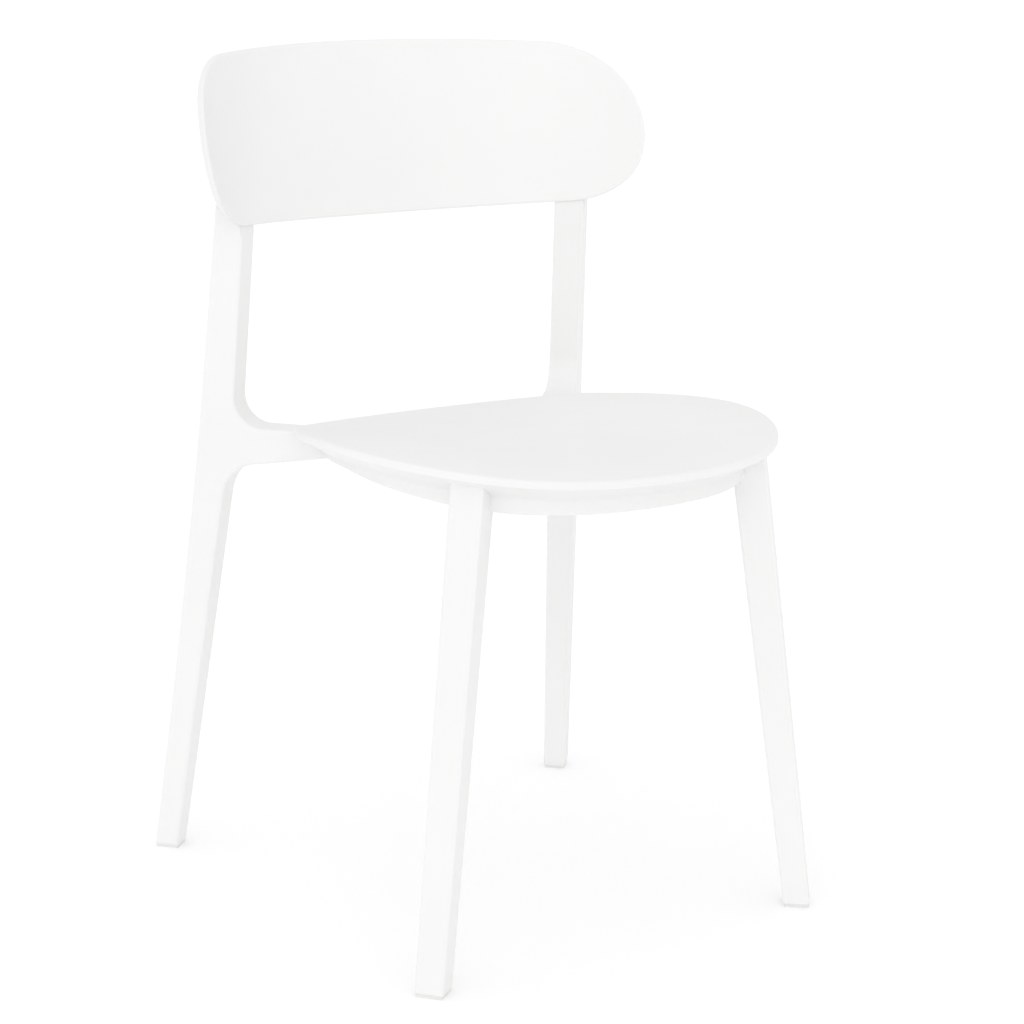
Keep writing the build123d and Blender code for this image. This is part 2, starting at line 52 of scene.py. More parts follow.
# Backrest, in metres: the same curve, outline and lean as the CAD panel
back_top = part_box("backrest_panel")[1][2]
BACK_HALF_WIDTH = 235 * MM
BACK_RADIUS = 284.6 * MM
BACK_THICKNESS = 8 * MM
BACK_LEAN = math.tan(math.radians(17.07))
BACK_END_CROWN = 5 * MM
BACK_CORNER = 60 * MM
BACK_TOP_CROWN = 6.3 * MM
BACK_LOW_CROWN = 11.1 * MM
BACK_EDGE = 2.6 * MM
END_BOW_SHARE = 0.5
BACK_SAMPLES = 72
CORNER_STEPS = 28
END_STEPS = 8
BACK_EDGE_STEPS = 6
BACK_FACE_STEPS = 12
BACK_HALF_HEIGHT = 72.1 * MM
BACK_MIDDLE_Z = back_top - BACK_TOP_CROWN - BACK_HALF_HEIGHT
BACK_MIDDLE_Y = 237.15 * MM

# Seat
SEAT_BEND_RADIUS = 1623 * MM
SEAT_CREST_Y = -112.5 * MM
SEAT_TOP = 449.5 * MM
RIM_THICKNESS = 7 * MM
RIM_RADIUS = 3.2 * MM
RIM_STEPS = 5
RIM_LOW_EDGE = 0.8 * MM
LOW_EDGE_MIDDLE = 0.25 * MM
FLARE_INSET = 29 * MM
FLARE_DROP = 16.5 * MM
FLARE_STEPS = 7
SEAT_MIDDLE = Vector((0, -70 * MM))
SEAT_HALF_WIDTH = 202.5 * MM
SEAT_SAMPLES = 360
SAMPLE_GAP = 2 * MM
SIDE_RISE = 3 * MM
SIDE_REACH = 185 * MM
SIDE_MIDDLE_Y = -120 * MM
APRON_BEND_RADIUS = 1044 * MM
APRON_BEND_Y = -60 * MM
APRON_BEND_TOP = 418.2 * MM
DISH_DEPTH = 6 * MM
DISH_START = 20 * MM
DISH_FLOOR = 0.35
DISH_STEPS = 26
SEAT_SKIN = 4.5 * MM
POCKET_INSET = 34.8 * MM
APRON_WALL = 3.5 * MM
APRON_SPARE = 0.6 * MM
APRON_EDGE = 0.8 * MM
CREASE_REACH = 4 * MM
CREASE_SHARE = 0.4
CREASE_STEPS = 6
APRON_HEIGHT = 13 * MM
RIB = 3 * MM
RIB_PITCH = 72 * MM
RIB_TOP = 8 * MM
RIB_LOW = 23 * MM
RIB_COUNTS = (6, 8)
RIB_STATIONS = 16
RIB_SINK = 1 * MM
SHORTEST_RIB = 5 * MM

# Front legs
FRONT_FOOT = (195.8 * MM, -199.4 * MM)
FRONT_HEAD = (143.5 * MM, -180.6 * MM)
FRONT_TURN = 51.5
FRONT_FOOT_SIZE = (26.4 * MM, 24.3 * MM)
FRONT_HEAD_SIZE = (30.3 * MM, 30.9 * MM)
HEAD_LEVEL = 428.4 * MM
LEG_EDGE = 2.6 * MM
LEG_EDGE_STEPS = 5
FOOT_EDGE = 0.8 * MM
HEAD_SPARE = 12 * MM
LEG_LEVELS = 12
GLIDE_HEIGHT = 3 * MM

# Rear frames, seen in their own plane as (along, up)
REAR_FOOT = (225.8 * MM, 253.5 * MM)
REAR_TURN = 49.3
REAR_LEAN = 2.35
FRAME_REAR_LINE = ((-11.65 * MM, 0), (55.6 * MM, 428.8 * MM), (78.3 * MM, 613 * MM), (88.6 * MM, 704 * MM))
FRAME_FRONT_FOOT = 11.65 * MM
FRAME_FRONT_KNEE = (81.3 * MM, 391 * MM)
UPRIGHT_FRONT = ((89 * MM, 429.3 * MM), (107 * MM, 613 * MM), (115.5 * MM, 704 * MM))
ARM_TOP_END = (213 * MM, 428.6 * MM)
ARM_LOW_END = (213 * MM, 408.4 * MM)
ARM_LOW_FILLET = 38 * MM
ARM_TOP_FILLET = 27 * MM
FRAME_EDGE = 2.6 * MM
FRAME_EDGE_STEPS = 5
REAR_LEG_BOW = 1.6 * MM
BOW_STEPS = 14
FILLET_STEPS = 14
LEG_STEPS = 10
UPRIGHT_STEPS = 8
SHORT_STEPS = 5
FRAME_HALF_FOOT = 11.55 * MM
FRAME_HALF_ARM = 14.7 * MM
FRAME_ARM_LEVEL = 412 * MM
ARM_DRAW_IN = 0.45
ARM_DRAW_START = 132 * MM
FRAME_BLOCK = 20 * MM
CUT_PITCH = 20 * MM
TOP_CUT_PITCH = 12 * MM
TOP_CUT_START = 560 * MM
ARM_CUT_PITCH = 8 * MM

# Shading of the made pieces
MERGE_DISTANCE = 0.01 * MM
HARD_EDGE = 60
NORMAL_WEIGHT = 60

# Studio: the world's light is a little stronger from one side, and a wide soft sun fills the front
FLOOR_REACH = 40
FLOOR_GREY = 0.97
FLOOR_GLOW = 0.065
WORLD_BRIGHT_SIDE = (-0.72, -0.66, 0.7)
WORLD_RANGE = (0.765, 1.1)
FRONT_ENERGY = 0.14
FRONT_SPREAD = 40
FRONT_TILT = 72
FRONT_SWING = -38
CAMERA_PLACE = (-1.29214, -2.05576, 0.93146)
CAMERA_TILT = 76.68
CAMERA_TURN = -32.35
CAMERA_LENS = 95.51


# ---------------------------------------------------------------- materials
def blank_material(name):
    """A new material, its node tree and its shader."""
    material = bpy.data.materials.new(name)
    material.use_nodes = True
    tree = material.node_tree
    return material, tree, tree.nodes["Principled BSDF"]


def noise(tree, scale, detail):
    """Noise in the object's own space."""
    place = tree.nodes.new("ShaderNodeTexCoord")
    texture = tree.nodes.new("ShaderNodeTexNoise")
    texture.inputs["Scale"].default_value = scale
    texture.inputs["Detail"].default_value = detail
    tree.links.new(place.outputs["Object"], texture.inputs["Vector"])
    return texture


def tint_by(tree, source, low, high, stops):
    """The base colour runs between two colours as a texture does between two stops."""
    tint = tree.nodes.new("ShaderNodeValToRGB")
    for element, colour, stop in zip(tint.color_ramp.elements, (low, high), stops):
        element.position = stop
        element.color = (*colour, 1)
    tree.links.new(source.outputs["Fac"], tint.inputs["Fac"])
    tree.links.new(tint.outputs["Color"], tree.nodes["Principled BSDF"].inputs["Base Color"])


def roughness_by(tree, source, low, high, stops):
    """The roughness runs between two values as a texture does between two stops."""
    gloss = tree.nodes.new("ShaderNodeMapRange")
    gloss.inputs["From Min"].default_value = stops[0]
    gloss.inputs["From Max"].default_value = stops[1]
    gloss.inputs["To Min"].default_value = low
    gloss.inputs["To Max"].default_value = high
    tree.links.new(source.outputs["Fac"], gloss.inputs["Value"])
    tree.links.new(gloss.outputs["Result"], tree.nodes["Principled BSDF"].inputs["Roughness"])


def bump_by(tree, source, strength, distance):
    """Fine relief that follows a texture."""
    bump = tree.nodes.new("ShaderNodeBump")
    bump.inputs["Strength"].default_value = strength
    bump.inputs["Distance"].default_value = distance
    tree.links.new(source.outputs["Fac"], bump.inputs["Height"])
    tree.links.new(bump.outputs["Normal"], tree.nodes["Principled BSDF"].inputs["Normal"])


def moulded_plastic(name, colour, roughness, grain):
    """Injection-moulded plastic: faint colour drift, uneven gloss and a fine moulded grain."""
    material, tree, shader = blank_material(name)
    middle = (0.3, 0.7)
    darker = [c * 0.975 for c in colour]
    tint_by(tree, noise(tree, scale=6, detail=3), darker, colour, middle)
    scuffs = noise(tree, scale=38, detail=6)
    scuffs.inputs["Roughness"].default_value = 0.65
    roughness_by(tree, scuffs, roughness - 0.05, roughness + 0.07, middle)
    bump_by(tree, noise(tree, scale=1400, detail=2), 0.35, grain)
    shader.inputs["IOR"].default_value = 1.49
    return material


def plated_metal(name, colour, roughness):
    """Turned and plated metal: fine turning marks and slightly cloudy plating."""
    material, tree, shader = blank_material(name)
    shader.inputs["Metallic"].default_value = 1
    whole = (0, 1)
    darker = [c * 0.8 for c in colour]
    clouds = noise(tree, scale=160, detail=4)
    tint_by(tree, clouds, darker, colour, whole)
    roughness_by(tree, clouds, roughness - 0.08, roughness + 0.14, whole)
    marks = tree.nodes.new("ShaderNodeTexWave")
    marks.wave_type = "RINGS"
    marks.inputs["Scale"].default_value = 900
    marks.inputs["Distortion"].default_value = 1.5
    place = tree.nodes.new("ShaderNodeTexCoord")
    tree.links.new(place.outputs["Object"], marks.inputs["Vector"])
    bump_by(tree, marks, 0.25, 0.04 * MM)
    return material


def floor_paint():
    """Matt white studio floor, with a faint glow that hides most of the shadows."""
    material, _, shader = blank_material("floor_paint")
    shader.inputs["Base Color"].default_value = (FLOOR_GREY, FLOOR_GREY, FLOOR_GREY, 1)
    shader.inputs["Roughness"].default_value = 0.9
    shader.inputs["Specular IOR Level"].default_value = 0.1
    shader.inputs["Emission Color"].default_value = (1, 1, 1, 1)
    shader.inputs["Emission Strength"].default_value = FLOOR_GLOW
    return material


plastic = moulded_plastic("white_polypropylene", (0.88, 0.88, 0.875), 0.42, 0.06 * MM)
nylon = moulded_plastic("glide_nylon", (0.8, 0.8, 0.79), 0.5, 0.08 * MM)
rubber = moulded_plastic("buffer_rubber", (0.72, 0.72, 0.71), 0.62, 0.05 * MM)
steel = plated_metal("zinc_plated_steel", (0.62, 0.63, 0.65), 0.34)
brass = plated_metal("machined_brass", (0.78, 0.6, 0.3), 0.3)


# ---------------------------------------------------------------- mesh helpers
def new_piece(name, vertices, faces, replaced):
    """A smooth-shaded plastic mesh, which may stand for CAD nodes."""
    mesh = bpy.data.meshes.new(name)
    mesh.from_pydata([tuple(v) for v in vertices], [], faces)
    edit = bmesh.new()
    edit.from_mesh(mesh)
    bmesh.ops.remove_doubles(edit, verts=edit.verts, dist=MERGE_DISTANCE)
    bmesh.ops.dissolve_degenerate(edit, edges=edit.edges, dist=MERGE_DISTANCE)
    bmesh.ops.recalc_face_normals(edit, faces=edit.faces)
    edit.to_mesh(mesh)
    edit.free()
    mesh.polygons.foreach_set("use_smooth", [True] * len(mesh.polygons))
    piece = bpy.data.objects.new(name, mesh)
    bpy.context.scene.collection.objects.link(piece)
    mesh.materials.append(plastic)
    piece.modifiers.new("hard_edges", "EDGE_SPLIT").split_angle = math.radians(HARD_EDGE)
    weighted = piece.modifiers.new("shading", "WEIGHTED_NORMAL")
    weighted.weight = NORMAL_WEIGHT
    if replaced:
        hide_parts(*replaced)
    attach(piece, "root")


def stitched(rings, capped=True):
    """Vertices and faces of a tube of equal rings, with one face over each end where it is capped."""
    count = len(rings[0])
    vertices = [point for ring in rings for point in ring]
    faces = []
    for lower in range(len(rings) - 1):
        for i in range(count):
            j = (i + 1) % count
            base = lower * count
            faces.append((base + i, base + j, base + count + j, base + count + i))
    if capped:
        last = (len(rings) - 1) * count
        faces.append(tuple(range(count)))
        faces.append(tuple(last + i for i in range(count)))
    return vertices, faces


# ---------------------------------------------------------------- backrest
def backrest_skeleton():
    """The backrest's outline is this lens grown by the corner radius.

    Gives (skeleton point, outward direction) pairs, anticlockwise, and where the lower arc starts."""
    full = BACK_HALF_WIDTH - BACK_END_CROWN
    half = BACK_HALF_WIDTH - BACK_CORNER - BACK_END_CROWN * END_BOW_SHARE
    share = (half / full) ** 2
    ends = {}
    sweeps = {}
    radii = {}
    for side, crown in ((1, BACK_TOP_CROWN), (-1, BACK_LOW_CROWN)):
        ends[side] = BACK_HALF_HEIGHT + crown * (1 - share) - BACK_CORNER
        radii[side] = (half**2 + (crown * share) ** 2) / (2 * crown * share)
        sweeps[side] = math.asin(half / radii[side])
    bow = BACK_END_CROWN * END_BOW_SHARE
    height = (ends[1] + ends[-1]) / 2
    middle = (ends[1] - ends[-1]) / 2
    end_radius = (height**2 + bow**2) / (2 * bow)
    end_sweep = math.asin(height / end_radius)
    spots = []

    def arc(side):
        lift = math.sqrt(radii[side] ** 2 - half**2)
        for k in range(BACK_SAMPLES + 1):
            angle = sweeps[side] * (1 - 2 * k / BACK_SAMPLES)
            away = Vector((side * math.sin(angle), side * math.cos(angle)))
            centre = Vector((0, side * (ends[side] - lift)))
            spots.append((centre + away * radii[side], away))

    def end_arc(side):
        centre = Vector((side * (half + bow - end_radius), middle))
        for k in range(END_STEPS + 1):
            angle = end_sweep * (2 * k / END_STEPS - 1)
            away = Vector((side * math.cos(angle), side * math.sin(angle)))
            spots.append((centre + away * end_radius, away))

    def corner(x, z, first, last):
        for k in range(1, CORNER_STEPS):
            angle = first + (last - first) * k / CORNER_STEPS
            spots.append((Vector((x, z)), Vector((math.cos(angle), math.sin(angle)))))

    quarter = math.pi / 2
    arc(1)
    corner(-half, ends[1], quarter + sweeps[1], 2 * quarter - end_sweep)
    end_arc(-1)
    corner(-half, -ends[-1], 2 * quarter + end_sweep, 3 * quarter - sweeps[-1])
    low_start = len(spots)
    arc(-1)
    corner(half, -ends[-1], -quarter + sweeps[-1], -end_sweep)
    end_arc(1)
    corner(half, ends[1], end_sweep, quarter - sweeps[1])
    return spots, low_start


def on_backrest(x, z, depth):
    """A point of the backrest, from its front surface (depth 0) to its back (depth 1)."""
    radius = BACK_RADIUS + BACK_THICKNESS * depth
    y = BACK_MIDDLE_Y - BACK_RADIUS + BACK_LEAN * z + math.sqrt(radius**2 - x**2)
    return Vector((x, y, BACK_MIDDLE_Z + z))


def build_backrest():
    """Rings from the middle of the front, round the edge, to the middle of the back."""
    spots, low_start = backrest_skeleton()
    share = BACK_EDGE / BACK_THICKNESS
    levels = []
    for k in range(BACK_FACE_STEPS, 0, -1):
        levels.append((BACK_EDGE + (BACK_CORNER - BACK_EDGE) * k / BACK_FACE_STEPS, 0))
    for k in range(BACK_EDGE_STEPS + 1):
        angle = math.pi / 2 * k / BACK_EDGE_STEPS
        levels.append((BACK_EDGE * (1 - math.sin(angle)), share * (1 - math.cos(angle))))
    levels += [(inset, 1 - depth) for inset, depth in reversed(levels)]
    rings = [[on_backrest(spot.x, spot.y / 2, 0) for spot, away in spots]]
    for inset, depth in levels:
        flats = [spot + away * (BACK_CORNER - inset) for spot, away in spots]
        rings.append([on_backrest(flat.x, flat.y, depth) for flat in flats])
    rings.append([on_backrest(spot.x, spot.y / 2, 1) for spot, away in spots])
    vertices, faces = stitched(rings, capped=False)
    for base in (0, (len(rings) - 1) * len(spots)):
        for k in range(BACK_SAMPLES):
            low = base + low_start + BACK_SAMPLES - k
            faces.append((base + k, base + k + 1, low - 1, low))
        for end in (BACK_SAMPLES + CORNER_STEPS, low_start + BACK_SAMPLES + CORNER_STEPS):
            faces.append(tuple(base + end + k for k in range(END_STEPS + 1)))
    new_piece("backrest", vertices, faces, ["backrest_panel"])


build_backrest()


# ---------------------------------------------------------------- seat
def seat_curve():
    """The seat's outline in plan, from the CAD rim, as points and inward directions."""
    flat = [Vector((v.co.x, v.co.y)) for v in nodes["seat_shell"].data.vertices]
    hull = [flat[i] for i in convex_hull_2d(flat)]
    spaced = [hull[0]]
    for point in hull[1:]:
        if (point - spaced[-1]).length > SAMPLE_GAP:
            spaced.append(point)
    if (spaced[-1] - spaced[0]).length < SAMPLE_GAP:
        spaced.pop()
    lengths = [0]
    closed = spaced + [spaced[0]]
    for a, b in zip(closed, closed[1:]):
        lengths.append(lengths[-1] + (b - a).length)
    total = lengths[-1]
    count = len(spaced)

    def slope(i):
        before = spaced[(i - 1) % count]
        after = spaced[(i + 1) % count]
        span = (spaced[i % count] - before).length + (after - spaced[i % count]).length
        return (after - before) / span

    points = []
    index = 0
    for k in range(SEAT_SAMPLES):
        at = total * k / SEAT_SAMPLES
        while lengths[index + 1] <= at:
            index += 1
        span = lengths[index + 1] - lengths[index]
        t = (at - lengths[index]) / span
        p0, p1 = closed[index], closed[index + 1]
        m0, m1 = slope(index) * span, slope(index + 1) * span
        points.append(
            p0 * (2 * t**3 - 3 * t**2 + 1) + m0 * (t**3 - 2 * t**2 + t)
            + p1 * (3 * t**2 - 2 * t**3) + m1 * (t**3 - t**2)
        )
    inward = []
    for k in range(SEAT_SAMPLES):
        along = (points[(k + 2) % SEAT_SAMPLES] - points[k - 2]).normalized()
        side = Vector((-along.y, along.x))
        if side.dot(SEAT_MIDDLE - points[k]) < 0:
            side = -side
        inward.append(side)
    return points, inward


def bent_height(y, radius, crest_y, top):
    """The height of a large cylinder about X that is highest at crest_y."""
    return top - radius + math.sqrt(radius**2 - (y - crest_y) ** 2)


def seat_height(y, x=0):
    """The bent seat's top, which also rises a little towards its sides."""
    along = max(0, 1 - ((y - SIDE_MIDDLE_Y) / SIDE_REACH) ** 2)
    rise = SIDE_RISE * (x / SEAT_HALF_WIDTH) ** 2 * along
    return bent_height(y, SEAT_BEND_RADIUS, SEAT_CREST_Y, SEAT_TOP) + rise


def apron_bottom(y):
    """The apron's lower edge follows the seat in front, and a tighter bend along the flanks."""
    front = seat_height(y) - RIM_THICKNESS - FLARE_DROP - APRON_HEIGHT
    flank = bent_height(y, APRON_BEND_RADIUS, APRON_BEND_Y, APRON_BEND_TOP)
    return max(front, flank)


def smooth_step(t):
    t = min(max(t, 0), 1)
    return t * t * (3 - 2 * t)


def build_ribs(points, inward):
    """The lattice of thin ribs under the seat's skin, clipped to the pocket's outline."""
    pocket = [p + side * (POCKET_INSET - RIB_SINK) for p, side in zip(points, inward)]
    vertices, faces = [], []

    def crossings(axis, at):
        found = []
        for a, b in zip(pocket, pocket[1:] + pocket[:1]):
            if (a[axis] - at) * (b[axis] - at) <= 0 and a[axis] != b[axis]:
                share = (at - a[axis]) / (b[axis] - a[axis])
                found.append((a + (b - a) * share)[1 - axis])
        return min(found), max(found)

    for axis, count in enumerate(RIB_COUNTS):
        for k in range(count):
            at = RIB_PITCH * (k - (count - 1) / 2)
            reach = [p[axis] for p in pocket]
            if not min(reach) + SHORTEST_RIB < at < max(reach) - SHORTEST_RIB:
                continue
            start, end = crossings(axis, at)
            first = len(vertices)
            for step in range(RIB_STATIONS + 1):
                along = start + (end - start) * step / RIB_STATIONS
                for sign, drop in ((-1, RIB_TOP), (1, RIB_TOP), (1, RIB_LOW), (-1, RIB_LOW)):
                    across = at + sign * RIB / 2
                    x, y = (across, along) if axis == 0 else (along, across)
                    vertices.append(Vector((x, y, seat_height(y, x) - drop)))
            faces.append((first, first + 1, first + 2, first + 3))
            for step in range(RIB_STATIONS):
                base = first + 4 * step
                for i in range(4):
                    j = (i + 1) % 4
                    faces.append((base + i, base + j, base + 4 + j, base + 4 + i))
            last = first + 4 * RIB_STATIONS
            faces.append((last, last + 1, last + 2, last + 3))
    new_piece("seat_ribs", vertices, faces, [])


def build_seat():
    """Rings from the dish's middle over the rim, down the flare and apron, and up into the pocket."""
    points, inward = seat_curve()

    def plan(inset):
        return [point + side * inset for point, side in zip(points, inward)]

    def on_seat(flats, drop):
        return [Vector((flat.x, flat.y, seat_height(flat.y, flat.x) - drop)) for flat in flats]

    def ring(inset, drop):
        return on_seat(plan(inset), drop)

    def apron_ring(inset, rise):
        return [Vector((flat.x, flat.y, apron_bottom(flat.y) + rise)) for flat in plan(inset)]

    rings = []
    for k in range(1, DISH_STEPS):
        scale = k / DISH_STEPS
        flats = [SEAT_MIDDLE + (flat - SEAT_MIDDLE) * scale for flat in plan(DISH_START)]
        rising = smooth_step((scale - DISH_FLOOR) / (1 - DISH_FLOOR))
        rings.append(on_seat(flats, DISH_DEPTH * (1 - rising)))
    rings.append(ring(DISH_START, 0))
    rings.append(ring(DISH_START / 2, 0))
    for k in range(RIM_STEPS + 1):
        angle = math.pi / 2 * k / RIM_STEPS
        rings.append(ring(RIM_RADIUS * (1 - math.sin(angle)), RIM_RADIUS * (1 - math.cos(angle))))
    rings.append(ring(0, RIM_THICKNESS - RIM_LOW_EDGE))
    rings.append(ring(LOW_EDGE_MIDDLE, RIM_THICKNESS - LOW_EDGE_MIDDLE))
    rings.append(ring(RIM_LOW_EDGE, RIM_THICKNESS))
    top = RIM_THICKNESS + FLARE_DROP
    flare = Vector((FLARE_INSET - RIM_LOW_EDGE, FLARE_DROP))
    before = CREASE_REACH / flare.length
    for k in range(1, FLARE_STEPS + 1):
        share = (1 - before) * k / FLARE_STEPS
        rings.append(ring(RIM_LOW_EDGE + flare.x * share, RIM_THICKNESS + flare.y * share))
    for k in range(1, CREASE_STEPS + 1):
        share = k / CREASE_STEPS
        spread = before * (1 - share) ** 2
        drop = top - flare.y * spread + CREASE_REACH * CREASE_SHARE * share**2
        rings.append(ring(FLARE_INSET - flare.x * spread, drop))
    far = FLARE_INSET + APRON_WALL + APRON_SPARE
    rings.append(apron_ring(FLARE_INSET, 2 * APRON_EDGE))
    rings.append(apron_ring(FLARE_INSET, APRON_EDGE))
    rings.append(apron_ring(FLARE_INSET + APRON_EDGE / 4, APRON_EDGE / 4))
    rings.append(apron_ring(FLARE_INSET + APRON_EDGE, 0))
    rings.append(apron_ring(far - APRON_EDGE, 0))
    rings.append(apron_ring(far, APRON_EDGE))
    rings.append(ring(far, top))
    rings.append(ring(POCKET_INSET, top))
    rings.append(ring(POCKET_INSET, DISH_DEPTH + SEAT_SKIN))
    vertices, faces = stitched(rings)
    new_piece("seat", vertices, faces, ["seat_shell"])
    build_ribs(points, inward)


build_seat()


# ---------------------------------------------------------------- front legs
def leg_axes(degrees):
    """The horizontal axes of a left leg: outward across it, and forward-inward along it."""
    angle = math.radians(degrees)
    return Vector((-math.sin(angle), -math.cos(angle), 0)), Vector((math.cos(angle), -math.sin(angle), 0))


def rounded_square(half_a, half_b, radius, steps):
    """Corner-rounded rectangle as (a, b) pairs, anticlockwise."""
    spots = []
    for sign_a, sign_b, start in ((1, 1, 0), (-1, 1, 90), (-1, -1, 180), (1, -1, 270)):
        for k in range(steps + 1):
            angle = math.radians(start + 90 * k / steps)
            spots.append((
                sign_a * (half_a - radius) + radius * math.cos(angle),
                sign_b * (half_b - radius) + radius * math.sin(angle),
            ))
    return spots


def mirrored(points):
    return [Vector((-p.x, p.y, p.z)) for p in points]


def both_sides(name, vertices, faces, replaced):
    """A left piece and its mirror image on the right."""
    for side, points in (("left", vertices), ("right", mirrored(vertices))):
        new_piece(f"{side}_{name}", points, faces, [f"{side}_{replaced}"])


def build_front_legs():
    """Square bars between the foot and the head, cut off under the seat's rim."""
    outward, along = leg_axes(FRONT_TURN)
    rings = []
    rise = HEAD_LEVEL + HEAD_SPARE - GLIDE_HEIGHT
    levels = [GLIDE_HEIGHT + rise * k / LEG_LEVELS for k in range(LEG_LEVELS + 1)]
    sections = [(GLIDE_HEIGHT, FOOT_EDGE), (GLIDE_HEIGHT + FOOT_EDGE, 0)]
    sections += [(level, 0) for level in levels[1:]]
    for level, shrink in sections:
        share = level / HEAD_LEVEL
        x = FRONT_FOOT[0] + (FRONT_HEAD[0] - FRONT_FOOT[0]) * share
        y = FRONT_FOOT[1] + (FRONT_HEAD[1] - FRONT_FOOT[1]) * share
        half_a = (FRONT_FOOT_SIZE[0] + (FRONT_HEAD_SIZE[0] - FRONT_FOOT_SIZE[0]) * share) / 2 - shrink
        half_b = (FRONT_FOOT_SIZE[1] + (FRONT_HEAD_SIZE[1] - FRONT_FOOT_SIZE[1]) * share) / 2 - shrink
        section = rounded_square(half_a, half_b, LEG_EDGE, LEG_EDGE_STEPS)
        rings.append([Vector((-x, y, level)) + along * a + outward * b for a, b in section])
    rings[-1] = [Vector((p.x, p.y, min(p.z, seat_height(p.y) - RIM_THICKNESS))) for p in rings[-1]]
    vertices, faces = stitched(rings)
    both_sides("front_leg_moulding", vertices, faces, "front_leg")


build_front_legs()


# ---------------------------------------------------------------- rear frames
def fillet_arc(before, corner, after, radius, steps):
    """The arc that rounds a corner between two straight stretches."""
    a = (before - corner).normalized()
    b = (after - corner).normalized()
    half = math.acos(max(-1, min(1, a.dot(b)))) / 2
    reach = radius / math.tan(half)
    middle = corner + (a + b).normalized() * (radius / math.sin(half))
    start = corner + a * reach - middle
    end = corner + b * reach - middle
    turn = math.atan2(start.x * end.y - start.y * end.x, start.dot(end))
    arc = []
    for k in range(steps + 1):
        angle = turn * k / steps
        cosine, sine = math.cos(angle), math.sin(angle)
        arc.append(middle + Vector((start.x * cosine - start.y * sine, start.x * sine + start.y * cosine)))
    return arc


def straight(a, b, steps):
    return [a + (b - a) * k / steps for k in range(1, steps)]


def frame_outline():
    """Leg, upright and arm in the frame's own plane, anticlockwise from the foot's front."""
    foot_front = Vector((FRAME_FRONT_FOOT, GLIDE_HEIGHT))
    foot_rear = Vector(FRAME_REAR_LINE[0]) + Vector((0, GLIDE_HEIGHT))
    knee = Vector(FRAME_FRONT_KNEE)
    low_end = Vector(ARM_LOW_END)
    top_end = Vector(ARM_TOP_END)
    upright = [Vector(p) for p in UPRIGHT_FRONT]
    lower = fillet_arc(foot_front, knee, low_end, ARM_LOW_FILLET, FILLET_STEPS)
    upper = fillet_arc(top_end, upright[0], upright[1], ARM_TOP_FILLET, FILLET_STEPS)
    outline = [foot_front] + straight(foot_front, lower[0], LEG_STEPS) + lower
    outline += straight(lower[-1], low_end, SHORT_STEPS) + [low_end, top_end]
    outline += straight(top_end, upper[0], SHORT_STEPS) + upper
    outline += straight(upper[-1], upright[1], UPRIGHT_STEPS) + [upright[1]]
    outline += straight(upright[1], upright[2], SHORT_STEPS) + [upright[2]]
    rear = [Vector(p) for p in FRAME_REAR_LINE]
    outline += [rear[3]] + straight(rear[3], rear[2], SHORT_STEPS)
    outline += [rear[2]] + straight(rear[2], rear[1], UPRIGHT_STEPS) + [rear[1]]
    for k in range(1, BOW_STEPS):
        share = k / BOW_STEPS
        bow = REAR_LEG_BOW * 4 * share * (1 - share)
        outline.append(rear[1] + (foot_rear - rear[1]) * share + Vector((bow, 0)))
    outline.append(foot_rear)
    return outline


def inward_normals(outline):
    """Unit normals that point into an anticlockwise outline, and how far each inset point moves."""
    count = len(outline)
    moves = []
    for k in range(count):
        before = (outline[k] - outline[k - 1]).normalized()
        after = (outline[(k + 1) % count] - outline[k]).normalized()
        side = Vector((-before.y - after.y, before.x + after.x)).normalized()
        stretch = max(0.5, side.dot(Vector((-before.y, before.x))))
        moves.append(side / stretch)
    return moves


def frame_half(along, level):
    """Half the frame's thickness: thin at the foot, and drawn in where the arm enters the seat."""
    grow = (FRAME_HALF_ARM - FRAME_HALF_FOOT) / FRAME_ARM_LEVEL
    half = min(FRAME_HALF_FOOT + grow * level, FRAME_HALF_ARM)
    drawn = smooth_step((along - ARM_DRAW_START) / (ARM_TOP_END[0] - ARM_DRAW_START))
    return half * (1 - ARM_DRAW_IN * drawn)


def in_the_backrest(point):
    """Keeps the upright's front behind the middle of the backrest's thickness."""
    z = point.z - BACK_MIDDLE_Z
    if z < -BACK_HALF_HEIGHT - BACK_LOW_CROWN + BACK_EDGE or abs(point.x) > BACK_HALF_WIDTH:
        return point
    middle = on_backrest(point.x, z, 0.5)
    return Vector((point.x, max(point.y, middle.y), point.z))


def cut_across(edit, place, direction):
    """Adds edges where a plane crosses a mesh."""
    everything = edit.verts[:] + edit.edges[:] + edit.faces[:]
    bmesh.ops.bisect_plane(edit, geom=everything, plane_co=place, plane_no=direction)


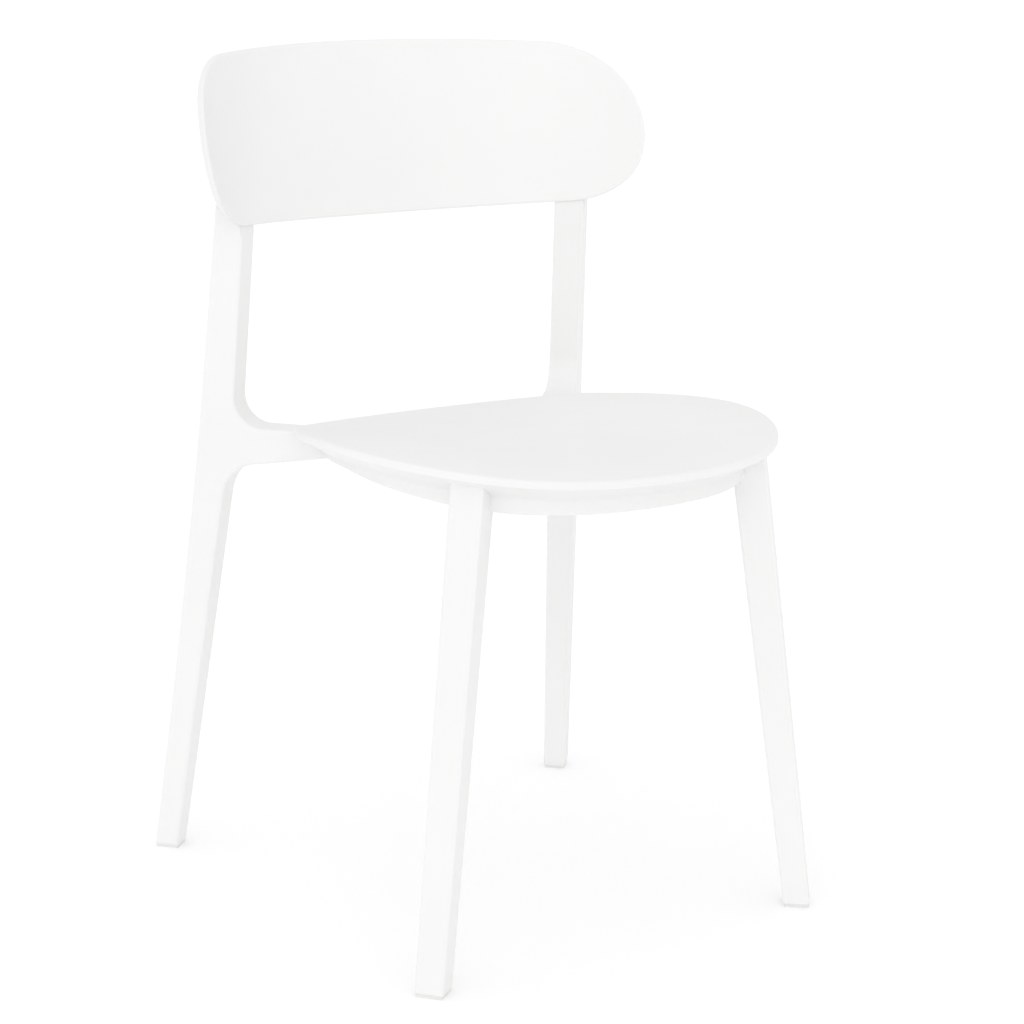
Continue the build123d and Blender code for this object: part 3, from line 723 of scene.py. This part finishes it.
def build_rear_frames():
    """A flat block with rounded edges is cut into strips, then placed and tapered in space."""
    outward, along = leg_axes(REAR_TURN)
    lean = math.radians(REAR_LEAN)
    normal = outward * math.cos(lean) - Vector((0, 0, 1)) * math.sin(lean)
    up = normal.cross(along)
    foot = Vector((-REAR_FOOT[0], REAR_FOOT[1], 0))
    outline = frame_outline()
    moves = inward_normals(outline)
    rings = []
    for side in (1, -1):
        for k in range(FRAME_EDGE_STEPS + 1):
            angle = math.pi / 2 * (k if side > 0 else FRAME_EDGE_STEPS - k) / FRAME_EDGE_STEPS
            inset = FRAME_EDGE * (1 - math.sin(angle))
            depth = FRAME_EDGE * (1 - math.cos(angle))
            rings.append([
                Vector((p.x + m.x * inset, p.y + m.y * inset, side * (FRAME_BLOCK - depth)))
                for p, m in zip(outline, moves)
            ])
    vertices, faces = stitched(rings)
    mesh = bpy.data.meshes.new("frame_block")
    mesh.from_pydata(vertices, [], faces)
    edit = bmesh.new()
    edit.from_mesh(mesh)
    level = CUT_PITCH
    while level < UPRIGHT_FRONT[-1][1]:
        cut_across(edit, (0, level, 0), (0, 1, 0))
        level += TOP_CUT_PITCH if level > TOP_CUT_START else CUT_PITCH
    reach = ARM_DRAW_START
    while reach < ARM_TOP_END[0]:
        cut_across(edit, (reach, 0, 0), (1, 0, 0))
        reach += ARM_CUT_PITCH
    placed = []
    for vertex in edit.verts:
        half = frame_half(vertex.co.x, vertex.co.y)
        across = vertex.co.z
        out = math.copysign(half - (FRAME_BLOCK - abs(across)), across)
        place = foot + along * vertex.co.x + up * vertex.co.y + normal * out
        vertex.index = len(placed)
        placed.append(in_the_backrest(place))
    flat_faces = [tuple(v.index for v in face.verts) for face in edit.faces]
    edit.free()
    both_sides("rear_frame_moulding", placed, flat_faces, "rear_frame")


build_rear_frames()


# ---------------------------------------------------------------- CAD nodes
FINISHES = {
    "body": plastic,
    "cap": plastic,
    "glide": nylon,
    "buffer": rubber,
    "steel": steel,
    "brass": brass,
}
slots = {part["node"]: part["material_slot"] for part in frame["record"]["subparts"]}
for name, node in nodes.items():
    node.data.materials.clear()
    node.data.materials.append(FINISHES[slots[name]])


# ---------------------------------------------------------------- floor, light, camera
def build_floor():
    mesh = bpy.data.meshes.new("floor")
    corners = [(x * FLOOR_REACH, y * FLOOR_REACH, 0) for x, y in ((-1, -1), (1, -1), (1, 1), (-1, 1))]
    mesh.from_pydata(corners, [], [(0, 1, 2, 3)])
    mesh.materials.append(floor_paint())
    floor = bpy.data.objects.new("floor", mesh)
    bpy.context.scene.collection.objects.link(floor)


def build_world():
    """White light from all round, a little stronger from one side."""
    world = bpy.data.worlds.new("studio")
    bpy.context.scene.world = world
    world.use_nodes = True
    tree = world.node_tree
    direction = tree.nodes.new("ShaderNodeTexCoord")
    toward = tree.nodes.new("ShaderNodeVectorMath")
    toward.operation = "DOT_PRODUCT"
    toward.inputs[1].default_value = Vector(WORLD_BRIGHT_SIDE).normalized()
    tree.links.new(direction.outputs["Generated"], toward.inputs[0])
    strength = tree.nodes.new("ShaderNodeMapRange")
    strength.inputs["From Min"].default_value = -1
    strength.inputs["From Max"].default_value = 1
    strength.inputs["To Min"].default_value = WORLD_RANGE[0]
    strength.inputs["To Max"].default_value = WORLD_RANGE[1]
    tree.links.new(toward.outputs["Value"], strength.inputs["Value"])
    background = tree.nodes["Background"]
    tree.links.new(strength.outputs["Result"], background.inputs["Strength"])
    background.inputs["Color"].default_value = (1, 1, 1, 1)


def build_front_light():
    """A wide, soft sun from the camera's side."""
    light = bpy.data.lights.new("front_softbox", "SUN")
    light.energy = FRONT_ENERGY
    light.angle = math.radians(FRONT_SPREAD)
    front = bpy.data.objects.new("front_softbox", light)
    front.rotation_euler = (math.radians(FRONT_TILT), 0, math.radians(FRONT_SWING))
    bpy.context.scene.collection.objects.link(front)


def build_camera():
    lens = bpy.data.cameras.new("camera")
    lens.lens = CAMERA_LENS
    lens.sensor_width = 36
    camera = bpy.data.objects.new("camera", lens)
    camera.location = CAMERA_PLACE
    camera.rotation_euler = (math.radians(CAMERA_TILT), 0, math.radians(CAMERA_TURN))
    bpy.context.scene.collection.objects.link(camera)
    bpy.context.scene.camera = camera


build_floor()
build_world()
build_front_light()
build_camera()
bpy.context.scene.view_settings.view_transform = "Standard"
